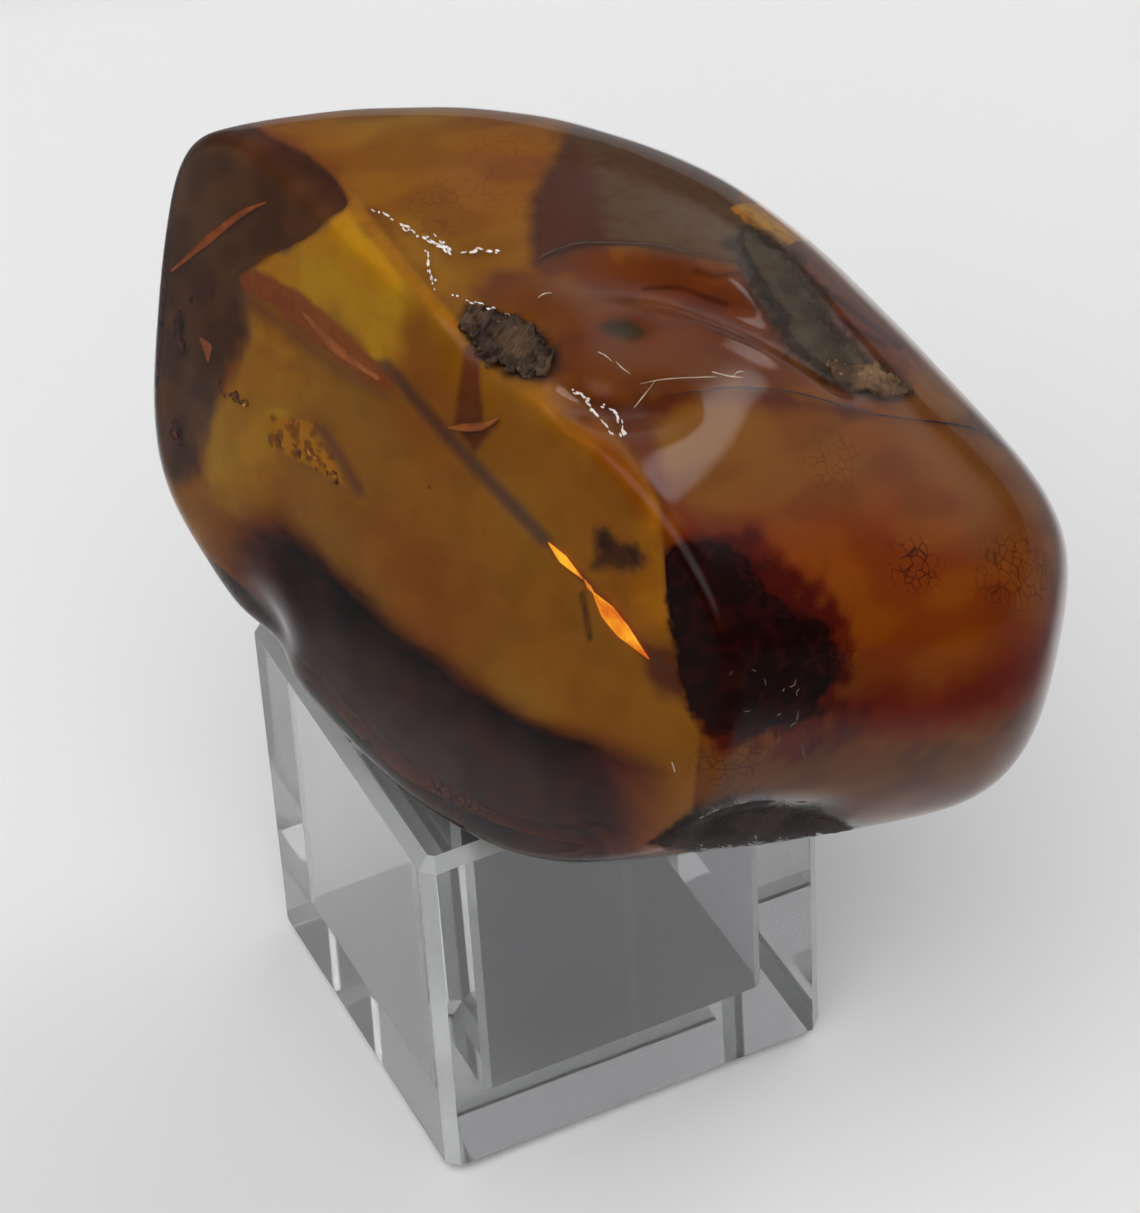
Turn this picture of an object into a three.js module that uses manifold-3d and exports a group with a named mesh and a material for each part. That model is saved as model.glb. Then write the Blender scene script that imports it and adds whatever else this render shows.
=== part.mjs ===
// A polished amber nugget that rests on the rim of a clear cube stand with an open top.
// Millimetres, +Z up. The origin is the middle of the stand's underside, and the stand's front faces -Y.
import * as THREE from "three";
import { mergeVertices } from "three/addons/utils/BufferGeometryUtils.js";
import Module from "manifold-3d";

// Stand: a cube of clear acrylic with a square well sunk from the top.
const STAND_SIDE = 38;
const STAND_WALL = 5;
const STAND_FLOOR = 6.5;
const STAND_CHAMFER = 1.1;
const WELL_CHAMFER = 0.7;

// Nugget: its place, the fineness of its surface and the roundness of its edges.
const REST_GAP = 0.3;
const UNDERSIDE = 22.8;
const NUGGET_MIDDLE = new THREE.Vector3(6.3, -6.2, STAND_SIDE + REST_GAP + UNDERSIDE);
const CELLS_PER_SIDE = 28;
const EDGE_ROUNDING = 2.6;

// The nugget's worn faces: the way each one looks (degrees round from +X, degrees up) and its distance
// from the middle.
const FACES = {
  top: [-85, 82, 25.3],
  bottom: [0, -90, UNDERSIDE],
  right: [21, 4.6, 27.3],
  back: [111.3, 4.1, 43.6],
  front: [-89.3, -0.4, 37.3],
  frontRight: [-39.4, -3.7, 40.3],
  frontTop: [-61.1, 46.2, 29.5],
  rightTop: [34.3, 54.5, 29.5],
  rightFore: [-8.5, 41.4, 26.7],
  leftLow: [209.5, -42.3, 35],
  frontLow: [-107.9, -44.2, 32.9],
  backLeft: [152.5, 7.3, 42],
  backLeftLow: [172.4, -41.4, 33.2],
  backLow: [109.1, -45.4, 38.8],
  rightLow: [-21.1, -41.2, 37.6],
  backTop: [75.1, 47.8, 36.1],
  backRight: [60, 2, 37.5],
  backRightLow: [45, -48, 35],
};

// The window ground into the left side: a face that domes a little and meets the rest at a crisp rim.
const WINDOW = { face: [197, 11, 22], domeRadius: 220 };
const WINDOW_REACH = 64;
const WINDOW_RINGS = 6;
const WINDOW_SPOKES = 40;
const CUTTER_DEPTH = 130;

// Channels worn along the surface: points that each one follows, its depth and its half width.
const CHANNELS = {
  topGroove: {
    path: [
      [-0.5, -7.1, 86.5],
      [4.1, -10.4, 86],
      [8.3, -12.9, 85.4],
      [11.6, -16, 84.4],
      [14.6, -19, 83.1],
      [16.9, -21.4, 81.4],
      [20, -23.2, 79],
      [24.5, -23.4, 75.8],
    ],
    depth: 1.3,
    width: 2.4,
  },
  lobeValley: {
    path: [[-6.4, -20.2, 84.6], [-3.2, -21.8, 84.3], [-1.3, -23.4, 83.9], [1.7, -24, 83.6], [5.9, -24.3, 83]],
    depth: 1.3,
    width: 2.2,
  },
  greyPit: {
    path: [[18.6, -9, 83.8], [18.5, -17, 82.2], [19.4, -21.8, 80], [23, -23, 77.2]],
    depth: 1.2,
    width: 2.4,
  },
  underPit: {
    path: [[-6, -39.7, 53.4], [1.5, -41.7, 52.7], [10.4, -40.5, 47.8]],
    depth: 1.3,
    width: 2.4,
  },
};
const CHANNEL_STEPS = 48;
// The part of a channel's length, at either end, over which it fades out.
const CHANNEL_TAPER = 0.3;

// Round hollows: the middle of each one, its depth and its half width.
const HOLLOWS = {
  crustPit: { middle: [-6.5, -14, 86], depth: 2, width: 3.6 },
  greySpot: { middle: [3.4, -16.2, 85], depth: 0.3, width: 1.8 },
  leftNick: { middle: [-22, 6, 47], depth: 1.4, width: 3 },
  backDip: { middle: [30, 18, 68], depth: 2.5, width: 14 },
  endDip: { middle: [2, 42, 58], depth: 2, width: 12 },
  rightDip: { middle: [35, -6, 54], depth: 1.5, width: 9 },
};

// The surface is searched for between these two distances from the middle.
const NEAREST = 5;
const FARTHEST = 80;
const HALVINGS = 40;

const wasm = await Module();
wasm.setup();

// Geometry with only its shared positions, as a solid that can be joined and cut.
function solidFrom(geometry) {
  geometry.deleteAttribute("normal");
  geometry.deleteAttribute("uv");
  const merged = mergeVertices(geometry, 1e-4);
  return new wasm.Manifold(
    new wasm.Mesh({
      numProp: 3,
      vertProperties: merged.attributes.position.array,
      triVerts: new Uint32Array(merged.index.array),
    }),
  );
}

function geometryFrom(solid) {
  const { vertProperties, triVerts } = solid.getMesh();
  return new THREE.BufferGeometry()
    .setAttribute("position", new THREE.BufferAttribute(vertProperties, 3))
    .setIndex(new THREE.BufferAttribute(triVerts, 1));
}

// A square outline with its four corners cut at 45 degrees.
function chamferedSquare(side, cut) {
  const h = side / 2;
  const k = h - cut;
  const corners = [[k, -h], [h, -k], [h, k], [k, h], [-k, h], [-h, k], [-h, -k], [-k, -h]];
  return new THREE.Shape(corners.map(([x, y]) => new THREE.Vector2(x, y)));
}

// The stand's block, chamfered along every outer edge, less the well.
function standGeometry() {
  const block = new THREE.ExtrudeGeometry(chamferedSquare(STAND_SIDE, STAND_CHAMFER), {
    depth: STAND_SIDE - 2 * STAND_CHAMFER,
    bevelEnabled: true,
    bevelSegments: 1,
    bevelThickness: STAND_CHAMFER,
    bevelSize: STAND_CHAMFER,
    bevelOffset: -STAND_CHAMFER,
  });
  block.translate(0, 0, STAND_CHAMFER);
  const well = new THREE.ExtrudeGeometry(chamferedSquare(STAND_SIDE - 2 * STAND_WALL, WELL_CHAMFER), {
    depth: STAND_SIDE,
    bevelEnabled: false,
  });
  well.translate(0, 0, STAND_FLOOR);
  return geometryFrom(solidFrom(block).subtract(solidFrom(well)));
}

// The unit vector that looks this many degrees round from +X and this many up.
function lookingTo(azimuth, elevation) {
  const polar = THREE.MathUtils.degToRad(90 - elevation);
  const round = THREE.MathUtils.degToRad(azimuth);
  const flat = Math.sin(polar);
  return new THREE.Vector3(flat * Math.cos(round), flat * Math.sin(round), Math.cos(polar));
}

const faces = Object.values(FACES).map(([azimuth, elevation, distance]) => ({
  normal: lookingTo(azimuth, elevation),
  distance,
}));
const channels = Object.values(CHANNELS).map(({ path, depth, width }) => ({
  points: new THREE.CatmullRomCurve3(path.map((p) => new THREE.Vector3(...p))).getPoints(CHANNEL_STEPS),
  depth,
  width,
}));
const hollows = Object.values(HOLLOWS).map(({ middle, depth, width }) => ({
  points: [new THREE.Vector3(...middle)],
  depth,
  width,
}));
const worn = [...channels, ...hollows];

// How strongly a channel is worn at one of its points: less towards either end, and fully for a lone point.
function strength(index, count) {
  if (count === 1) {
    return 1;
  }
  const along = index / (count - 1);
  return THREE.MathUtils.smoothstep(Math.min(along, 1 - along), 0, CHANNEL_TAPER);
}

// How far a point lies outside the unground nugget: the soft meeting of its faces, raised where a channel or
// a hollow takes material away.
function outside(point) {
  const fromMiddle = point.clone().sub(NUGGET_MIDDLE);
  const reach = faces.map(({ normal, distance }) => (normal.dot(fromMiddle) - distance) / EDGE_ROUNDING);
  const body = EDGE_ROUNDING * Math.log(reach.reduce((sum, r) => sum + Math.exp(r), 0));
  const taken = worn.reduce((sum, { points, depth, width }) => {
    const gaps = points.map((p) => p.distanceTo(point));
    const near = Math.min(...gaps);
    return sum + depth * strength(gaps.indexOf(near), points.length) * Math.exp(-((near / width) ** 2));
  }, 0);
  return body + taken;
}

// The nugget's surface point along a direction from its middle, found by halving.
function surfacePoint(direction) {
  let inner = NEAREST;
  let outer = FARTHEST;
  const point = new THREE.Vector3();
  for (let i = 0; i < HALVINGS; i += 1) {
    const half = (inner + outer) / 2;
    point.copy(direction).multiplyScalar(half).add(NUGGET_MIDDLE);
    if (outside(point) < 0) {
      inner = half;
    } else {
      outer = half;
    }
  }
  return point;
}

// A cube's square grid, evened out by its tangents and drawn out to the nugget's surface.
function lumpGeometry() {
  const grid = new THREE.BoxGeometry(2, 2, 2, CELLS_PER_SIDE, CELLS_PER_SIDE, CELLS_PER_SIDE);
  grid.deleteAttribute("normal");
  grid.deleteAttribute("uv");
  const geometry = mergeVertices(grid, 1e-4);
  const position = geometry.attributes.position;
  const direction = new THREE.Vector3();
  for (let i = 0; i < position.count; i += 1) {
    const corner = [position.getX(i), position.getY(i), position.getZ(i)];
    const even = corner.map((c) => Math.tan((c * Math.PI) / 4));
    const point = surfacePoint(direction.set(...even).normalize());
    position.setXYZ(i, point.x, point.y, point.z);
  }
  return geometry;
}

// What the grinding of the window leaves: a deep drum whose outer end is the window's dome.
function keptByWindow() {
  const [azimuth, elevation, distance] = WINDOW.face;
  const normal = lookingTo(azimuth, elevation);
  const profile = [new THREE.Vector2(0, -CUTTER_DEPTH), new THREE.Vector2(WINDOW_REACH, -CUTTER_DEPTH)];
  for (let ring = WINDOW_RINGS; ring >= 0; ring -= 1) {
    const out = (WINDOW_REACH * ring) / WINDOW_RINGS;
    profile.push(new THREE.Vector2(out, Math.sqrt(WINDOW.domeRadius ** 2 - out ** 2) - WINDOW.domeRadius));
  }
  const drum = new THREE.LatheGeometry(profile, WINDOW_SPOKES);
  const turn = new THREE.Quaternion().setFromUnitVectors(new THREE.Vector3(0, 1, 0), normal);
  drum.applyQuaternion(turn);
  const crown = normal.multiplyScalar(distance).add(NUGGET_MIDDLE);
  return drum.translate(crown.x, crown.y, crown.z);
}

function nuggetGeometry() {
  return geometryFrom(solidFrom(lumpGeometry()).intersect(solidFrom(keptByWindow())));
}

const amber = new THREE.MeshStandardMaterial({ color: 0x9a5a1e, roughness: 0.1, metalness: 0 });
const acrylic = new THREE.MeshStandardMaterial({
  color: 0xc8cccb,
  roughness: 0.05,
  metalness: 0,
  transparent: true,
  opacity: 0.35,
});

function piece(name, geometry, material) {
  geometry.computeVertexNormals();
  const mesh = new THREE.Mesh(geometry, material);
  mesh.name = name;
  return mesh;
}

const part = new THREE.Group();
part.add(piece("stand", standGeometry(), acrylic));
part.add(piece("nugget", nuggetGeometry(), amber));

export default part;
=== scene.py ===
import math

import bpy
import numpy as np
from mathutils import Matrix


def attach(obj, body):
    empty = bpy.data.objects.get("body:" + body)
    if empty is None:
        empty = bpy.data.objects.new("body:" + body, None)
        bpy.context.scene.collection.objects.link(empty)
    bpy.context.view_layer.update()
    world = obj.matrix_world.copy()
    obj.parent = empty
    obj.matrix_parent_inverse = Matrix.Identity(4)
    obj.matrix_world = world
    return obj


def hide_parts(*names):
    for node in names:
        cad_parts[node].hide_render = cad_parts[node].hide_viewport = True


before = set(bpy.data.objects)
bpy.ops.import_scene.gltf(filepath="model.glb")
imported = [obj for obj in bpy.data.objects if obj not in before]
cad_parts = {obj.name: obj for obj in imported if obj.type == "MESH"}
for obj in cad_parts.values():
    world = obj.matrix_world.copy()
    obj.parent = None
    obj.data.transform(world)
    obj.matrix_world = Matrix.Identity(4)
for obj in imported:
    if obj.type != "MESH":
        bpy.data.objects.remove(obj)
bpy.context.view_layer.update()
scene = bpy.context.scene
mm = 0.001  # shapes are worked out in millimetres and written in metres
print("frame loaded:", ", ".join(sorted(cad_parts)))


# Camera: the photograph's own view, found from the corners of the stand
viewer = dict(
    azimuth=-23.8, elevation=39.94, roll=-3.38,  # degrees
    aim=(0, 0, 19), distance=418, slideRight=2.81, slideUp=20.18,  # millimetres
    photoWidth=1140, photoHeight=1213, focal=4575,  # pixels
    sensor=36, nearest=0.01,  # millimetres, metres
)


def viewerAxes():
    # the eye and its right, up and backward axes; the roll turns right and up about the line of sight
    azimuth, elevation, roll = (math.radians(viewer[k]) for k in ("azimuth", "elevation", "roll"))
    back = np.array([math.sin(azimuth) * math.cos(elevation),
                     -math.cos(azimuth) * math.cos(elevation), math.sin(elevation)])
    level = np.array([math.cos(azimuth), math.sin(azimuth), 0.0])
    rise = np.cross(back, level)
    right = math.cos(roll) * level + math.sin(roll) * rise
    up = math.cos(roll) * rise - math.sin(roll) * level
    eye = np.array(viewer["aim"]) + back * viewer["distance"]
    eye = eye + right * viewer["slideRight"] + up * viewer["slideUp"]
    return eye, right, up, back


eye, eyeRight, eyeUp, eyeBack = viewerAxes()


def pixelOf(points):
    # photo pixel under each point: focal length times sideways offset over depth
    away = points - eye
    depth = -away @ eyeBack
    across = viewer["photoWidth"] / 2 + viewer["focal"] * (away @ eyeRight) / depth
    down = viewer["photoHeight"] / 2 - viewer["focal"] * (away @ eyeUp) / depth
    return np.stack([across, down], -1)


def rayOf(pixels):
    # unit direction from the eye through each photo pixel
    across = (pixels[:, :1] - viewer["photoWidth"] / 2) / viewer["focal"]
    down = (pixels[:, 1:] - viewer["photoHeight"] / 2) / viewer["focal"]
    way = across * eyeRight - down * eyeUp - eyeBack
    return way / np.linalg.norm(way, axis=1, keepdims=True)


def addCamera():
    lens = bpy.data.cameras.new("photoView")
    lens.sensor_width = viewer["sensor"]
    lens.lens = viewer["focal"] * viewer["sensor"] / viewer["photoHeight"]
    lens.clip_start = viewer["nearest"]
    camera = bpy.data.objects.new("photoView", lens)
    turn = Matrix([list(row) for row in np.stack([eyeRight, eyeUp, eyeBack], 1)]).to_4x4()
    camera.matrix_world = Matrix.Translation([c * mm for c in eye]) @ turn
    scene.collection.objects.link(camera)
    scene.camera = camera


addCamera()
print("camera placed")


# Numbers on surfaces

def lookingTo(azimuth, elevation):
    round_, rise = math.radians(azimuth), math.radians(elevation)
    flat = math.cos(rise)
    return np.array([math.cos(round_) * flat, math.sin(round_) * flat, math.sin(rise)])


def smooth(value, low, high):
    # 0 below low, 1 above high, an S between
    t = np.clip((value - low) / (high - low), 0, 1)
    return t * t * (3 - 2 * t)


def ripple(points, wavelength, seed, waves=7):
    # sum of sine waves in seeded directions, about -1 to 1
    rng = np.random.default_rng(seed)
    ways = rng.normal(size=(waves, 3))
    ways /= np.linalg.norm(ways, axis=1, keepdims=True)
    ways *= 2 * math.pi / wavelength * rng.uniform(0.7, 1.4, (waves, 1))
    return np.sin(points @ ways.T + rng.uniform(0, 2 * math.pi, waves)).sum(1) / (0.9 * math.sqrt(waves))


def curveThrough(points, steps):
    # Catmull-Rom curve: each stretch bends by the points on either side of it
    p = np.array(points, float)
    p = np.vstack([2 * p[0] - p[1], p, 2 * p[-1] - p[-2]])
    at = np.linspace(0, len(p) - 3, steps)
    k = np.minimum(at.astype(int), len(p) - 4)
    t = (at - k)[:, None]
    a, b, c, d = p[k], p[k + 1], p[k + 2], p[k + 3]
    return 0.5 * (2 * b + (c - a) * t + (2 * a - 5 * b + 4 * c - d) * t ** 2 + (3 * b - a - 3 * c + d) * t ** 3)


def alongPath(points, path):
    # distance of each point to a chain of straight stretches, and how far along it (0 to 1) the nearest place is
    start, run = path[:-1], path[1:] - path[:-1]
    rel = points[:, None] - start[None]
    t = np.clip((rel * run).sum(-1) / np.maximum((run * run).sum(-1), 1e-9), 0, 1)
    gaps = np.linalg.norm(rel - t[..., None] * run, axis=-1)
    row, nearest = np.arange(len(points)), gaps.argmin(1)
    return gaps[row, nearest], (nearest + t[row, nearest]) / len(run)


def nearPath(points, path):
    return alongPath(points, path)[0]


def insideOutline(pixels, outline):
    # signed distance to a closed outline, above zero inside it
    a = np.array(outline, float)
    b = np.roll(a, -1, axis=0)
    near = nearPath(pixels, np.vstack([a, a[:1]]))
    x, y = pixels[:, :1], pixels[:, 1:]
    drop = np.where(b[:, 1] == a[:, 1], 1e-9, b[:, 1] - a[:, 1])
    slant = (b[:, 0] - a[:, 0]) * (y - a[:, 1]) / drop + a[:, 0]
    crossed = ((a[:, 1] > y) != (b[:, 1] > y)) & (x < slant)
    return np.where(crossed.sum(1) % 2 == 1, near, -near)


def cubeGrid(cells):
    # unit directions over a cube's six square grids, evened out by tangents, with the shared edges merged
    line = np.linspace(-1, 1, cells + 1)
    u, v = (g.ravel() for g in np.meshgrid(line, line, indexing="ij"))
    one = np.ones_like(u)
    sides = ((one, u, v), (-one, v, u), (v, one, u), (u, -one, v), (u, v, one), (v, u, -one))
    corner = (np.arange(cells)[:, None] * (cells + 1) + np.arange(cells)).ravel()
    quad = np.stack([corner, corner + cells + 1, corner + cells + 2, corner + 1], 1)
    quads = np.vstack([quad + k * (cells + 1) ** 2 for k in range(6)])
    corners = np.vstack([np.stack(side, 1) for side in sides])
    points, same = np.unique(np.round(corners, 7), axis=0, return_inverse=True)
    ways = np.tan(points * math.pi / 4)
    return ways / np.linalg.norm(ways, axis=1, keepdims=True), same.reshape(-1)[quads]


def tubeFaces(rings, sides):
    # quads round a tube of rings, with a cap at each end
    ring = np.arange(rings - 1)[:, None] * sides
    side = np.arange(sides)
    after = (side + 1) % sides
    quads = np.stack([ring + side, ring + after, ring + sides + after, ring + sides + side], -1).reshape(-1, 4)
    caps = [list(range(sides - 1, -1, -1)), list(range((rings - 1) * sides, rings * sides))]
    return quads.tolist() + caps


def addPiece(name, points, faces, slot, replaced=()):
    # a smooth mesh from points in millimetres, riding on the one body
    mesh = bpy.data.meshes.new(name)
    mesh.from_pydata((points * mm).tolist(), [], faces if isinstance(faces, list) else faces.tolist())
    mesh.polygons.foreach_set("use_smooth", np.ones(len(mesh.polygons), bool))
    mesh.update()
    piece = bpy.data.objects.new(name, mesh)
    scene.collection.objects.link(piece)
    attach(piece, "root")
    if replaced:
        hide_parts(*replaced)
    return piece


def paint(piece, name, values):
    # one number or one colour for each point
    if values.ndim == 1:
        layer = piece.data.attributes.new(name, "FLOAT", "POINT")
        layer.data.foreach_set("value", values.astype(np.float32))
    else:
        layer = piece.data.attributes.new(name, "FLOAT_COLOR", "POINT")
        layer.data.foreach_set("color", np.insert(values, 3, 1, axis=1).astype(np.float32).ravel())


# Shader maths: a value is a socket that takes part in sums

class Value:
    def __init__(self, shader, socket):
        self.shader = shader
        self.socket = socket

    def sum(self, operation, first, second):
        made = self.shader.node("Math", {"operation": operation}, {0: first, 1: second})
        return Value(self.shader, made.outputs[0])

    def __add__(self, other):
        return self.sum("ADD", self, other)

    def __radd__(self, other):
        return self.sum("ADD", other, self)

    def __sub__(self, other):
        return self.sum("SUBTRACT", self, other)

    def __rsub__(self, other):
        return self.sum("SUBTRACT", other, self)

    def __mul__(self, other):
        return self.sum("MULTIPLY", self, other)

    def __rmul__(self, other):
        return self.sum("MULTIPLY", other, self)

    def __abs__(self):
        return self.sum("ABSOLUTE", self, 0)

    def smooth(self, low, high):
        made = self.shader.node("MapRange", {"interpolation_type": "SMOOTHSTEP"},
                                {"Value": self, "From Min": low, "From Max": high})
        return Value(self.shader, made.outputs["Result"])


class Shader:
    def __init__(self, name, kind="Material"):
        self.owner = (bpy.data.worlds if kind == "World" else bpy.data.materials).new(name)
        self.owner.use_nodes = True
        self.tree = self.owner.node_tree
        self.tree.nodes.clear()
        self.end = self.node("Output" + kind)

    # any node: its type, its settings, then the values or links of its sockets
    def node(self, kind, settings=None, sockets=None):
        made = self.tree.nodes.new("ShaderNode" + kind)
        for key, value in (settings or {}).items():
            setattr(made, key, value)
        for key, value in (sockets or {}).items():
            if isinstance(value, Value):
                self.tree.links.new(value.socket, made.inputs[key])
            else:
                made.inputs[key].default_value = value
        return made

    def out(self, made, key=0):
        return Value(self, made.outputs[key])

    def place(self):
        return self.out(self.node("TexCoord"), "Object")

    def painted(self, name, kind="Fac"):
        return self.out(self.node("Attribute", {"attribute_name": name}), kind)

    def noise(self, scale, detail, where=None):
        made = self.node("TexNoise", None, {"Vector": where or self.place(), "Scale": scale, "Detail": detail})
        return self.out(made, "Fac")

    # distance to the border of the nearest cell
    def cells(self, scale):
        made = self.node("TexVoronoi", {"feature": "DISTANCE_TO_EDGE"}, {"Vector": self.place(), "Scale": scale})
        return self.out(made, "Distance")

    def stretched(self, scale, turn):
        made = self.node("Mapping", None, {"Vector": self.place(), "Scale": scale, "Rotation": turn})
        return self.out(made)

    def mix(self, factor, first, second):
        # sockets 6 and 7 of a Mix node are its two colours, and output 2 is the mixed one
        made = self.node("Mix", {"data_type": "RGBA"}, {0: factor, 6: colour(first), 7: colour(second)})
        return self.out(made, 2)

    def bump(self, height, distance):
        return self.out(self.node("Bump", None, {"Height": height, "Distance": distance}))

    def surface(self, sockets):
        made = self.node("BsdfPrincipled", None, sockets)
        self.tree.links.new(made.outputs[0], self.end.inputs["Surface"])

    def absorb(self, tint, density):
        made = self.node("VolumeAbsorption", None, {"Color": colour(tint), "Density": density})
        self.tree.links.new(made.outputs[0], self.end.inputs["Volume"])

    def on(self, piece):
        piece.data.materials.clear()
        piece.data.materials.append(self.owner)


def colour(c):
    return c if isinstance(c, Value) else (*c[:3], 1.0)


# Nugget: the polished skin of clear amber
nugget = dict(
    middle=np.array([6.3, -6.2, 61.1]), rounding=2.6, cells=126,
    # each worn face: degrees round from +X, degrees up, distance from the middle
    faces=dict(
        top=(-85, 82, 25.3), bottom=(0, -90, 22.8), right=(21, 4.6, 27.3), back=(111.3, 4.1, 43.6),
        front=(-89.3, -0.4, 37.3), frontRight=(-39.4, -3.7, 40.3), frontTop=(-61.1, 46.2, 29.5),
        rightTop=(34.3, 54.5, 29.5), rightFore=(-8.5, 41.4, 26.7), leftLow=(209.5, -42.3, 35),
        frontLow=(-107.9, -44.2, 32.9), backLeft=(152.5, 7.3, 42), backLeftLow=(172.4, -41.4, 33.2),
        backLow=(109.1, -45.4, 38.8), rightLow=(-21.1, -41.2, 37.6), backTop=(75.1, 47.8, 36.1),
        backRight=(60, 2, 37.5), backRightLow=(45, -48, 35),
    ),
    window=(197, 11, 22), domeRadius=220, rim=0.4,  # the ground face on the left
    # channels worn along the surface: path, depth (below zero for a raised crest), half width; each fades out over
    # the first and the last part of its path
    taper=0.3, pathSteps=30,
    channels=dict(
        topGroove=([(-0.5, -7.1, 86.5), (4.1, -10.4, 86), (8.3, -12.9, 85.4), (11.6, -16, 84.4), (14.6, -19, 83.1),
                    (16.9, -21.4, 81.4), (20, -23.2, 79), (24.5, -23.4, 75.8)], 1.3, 2.4),
        lobeValley=([(-6.4, -20.2, 84.6), (-3.2, -21.8, 84.3), (-1.3, -23.4, 83.9), (1.7, -24, 83.6),
                     (5.9, -24.3, 83)], 1.3, 2.2),
        greyPit=([(18.6, -9, 83.8), (18.5, -17, 82.2), (19.4, -21.8, 80), (23, -23, 77.2)], 1.2, 2.4),
        underPit=([(-6, -39.7, 53.4), (1.5, -41.7, 52.7), (10.4, -40.5, 47.8)], 1.3, 2.4),
        crest=([(6.3, -14.2, 85.3), (8.6, -16.5, 84.7), (10.8, -18.9, 83.9), (12.8, -20.7, 82.9), (14.8, -22.5, 81.7),
                (16.9, -24.1, 80.1), (19.6, -25.4, 78)], -0.4, 1.1),
    ),
    # round hollows: middle, depth, half width
    hollows=dict(
        crustPit=((-6.5, -14, 86), 2.0, 3.6), greySpot=((3.4, -16.2, 85), 0.3, 1.8),
        leftNick=((-22, 6, 47), 1.4, 3.0), backDip=((30, 18, 68), 2.5, 14.0), endDip=((2, 42, 58), 2.0, 12.0),
        rightDip=((35, -6, 54), 1.5, 9.0),
    ),
    waviness=0.025, waveLength=11, inset=0.06,  # hand polish, and how far the skin lies inside the solid
    # where the skin is looked for: from the middle outwards, then below and above the unworn lump
    search=(5.0, 80.0), wearSearch=(5, 0.6),
    # how far a line of sight is followed before and behind the middle, and in how many steps
    sight=(50, 30, 50),
    tint=(0.90, 0.62, 0.05), absorption=600, ior=1.54, gloss=(0.22, 0.22, 0.22, 1),
    # polishing smears, drawn out along one way, add to the roughness
    roughness=0.03, smear=0.08, smearStretch=(0.3, 0.5, 2.0), smearLength=5,
)
faceWays = np.array([lookingTo(a, e) for a, e, d in nugget["faces"].values()])
faceDistances = np.array([d for a, e, d in nugget["faces"].values()])
windowAzimuth, windowElevation, windowDistance = nugget["window"]
domeMiddle = nugget["middle"] + lookingTo(windowAzimuth, windowElevation) * (windowDistance - nugget["domeRadius"])
wear = [(curveThrough(path, nugget["pathSteps"]), depth, width, nugget["taper"])
        for path, depth, width in nugget["channels"].values()]
wear += [(np.array([at, at], float), depth, width, 0) for at, depth, width in nugget["hollows"].values()]


def lump(points):
    # soft meeting of the faces, rounding * log(sum of exp(reach / rounding)), cut by the dome of the window
    reach = ((points - nugget["middle"]) @ faceWays.T - faceDistances) / nugget["rounding"]
    body = nugget["rounding"] * np.log(np.exp(reach).sum(1))
    dome = np.linalg.norm(points - domeMiddle, axis=1) - nugget["domeRadius"]
    return np.maximum(body, dome) + nugget["rim"] * np.log1p(np.exp(-np.abs(body - dome) / nugget["rim"]))


def worn(points):
    # depth taken away: each channel and hollow is depth * fade * exp(-(distance / width) squared)
    taken = nugget["inset"] + nugget["waviness"] * ripple(points, nugget["waveLength"], 3)
    for path, depth, width, taper in wear:
        low, high = path.min(0) - 3 * width, path.max(0) + 3 * width
        close = np.flatnonzero(np.all((points > low) & (points < high), 1))
        if len(close):
            gap, along = alongPath(points[close], path)
            fade = smooth(np.minimum(along, 1 - along), 0, taper) if taper else 1
            taken[close] += depth * fade * np.exp(-(gap / width) ** 2)
    return taken


def outside(points):
    return lump(points) + worn(points)


def halve(test, inner, outer, times):
    # the distance at which test turns from below zero to above it, by halving
    for _ in range(times):
        half = (inner + outer) / 2
        below = test(half) < 0
        inner, outer = np.where(below, half, inner), np.where(below, outer, half)
    return (inner + outer) / 2


def skinAlong(ways):
    # where each ray from the middle leaves the nugget: first the lump alone, then with its wear
    at = lambda test: lambda r: test(nugget["middle"] + ways * r[:, None])
    near, far = nugget["search"]
    below, above = nugget["wearSearch"]
    rough = halve(at(lump), np.full(len(ways), near), np.full(len(ways), far), 24)
    return halve(at(outside), rough - below, rough + above, 14)


def skinUnder(pixels):
    # first point of the skin behind each photo pixel: steps along the line of sight, then halving
    way = rayOf(np.asarray(pixels, float))
    far = (eye - nugget["middle"]) @ eyeBack
    before, behind, steps = nugget["sight"]
    span = np.linspace(far - before, far + behind, steps)
    within = np.stack([outside(eye + way * s) < 0 for s in span], 1)
    first = np.maximum(within.argmax(1), 1)
    reach = halve(lambda r: -outside(eye + way * r[:, None]), span[first - 1], span[first], 12)
    at = eye + way * reach[:, None]
    missed = np.flatnonzero(~within.any(1))
    if len(missed):
        # a line of sight that passes beside the nugget takes the skin nearest to it
        beside = np.stack([outside(eye + way[missed] * s) for s in span], 1)
        at[missed] = eye + way[missed] * span[beside.argmin(1)][:, None]
        for _ in range(4):
            at[missed] -= normalAt(at[missed]) * outside(at[missed])[:, None]
    return at


def normalAt(points, step=0.05):
    # slope of the nugget's field
    rise = np.stack([outside(points + step * axis) - outside(points - step * axis) for axis in np.eye(3)], 1)
    return rise / np.linalg.norm(rise, axis=1, keepdims=True)


ways, quads = cubeGrid(nugget["cells"])
skinRadius = skinAlong(ways)
skin = nugget["middle"] + ways * skinRadius[:, None]
skinNormal = normalAt(skin)
skinPixel = pixelOf(skin)
facing = (skinNormal * (eye - skin)).sum(1) / np.linalg.norm(eye - skin, axis=1)
nuggetPiece = addPiece("amberSkin", skin, quads, "amber", ["nugget"])
# 0 for a clean skin, 1 for a smeared one
smeared = ripple(skin @ np.diag(nugget["smearStretch"]), nugget["smearLength"], 17)
paint(nuggetPiece, "smear", smooth(smeared, 0.4, 1.6))
print("nugget skin:", len(skin), "points")

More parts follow.
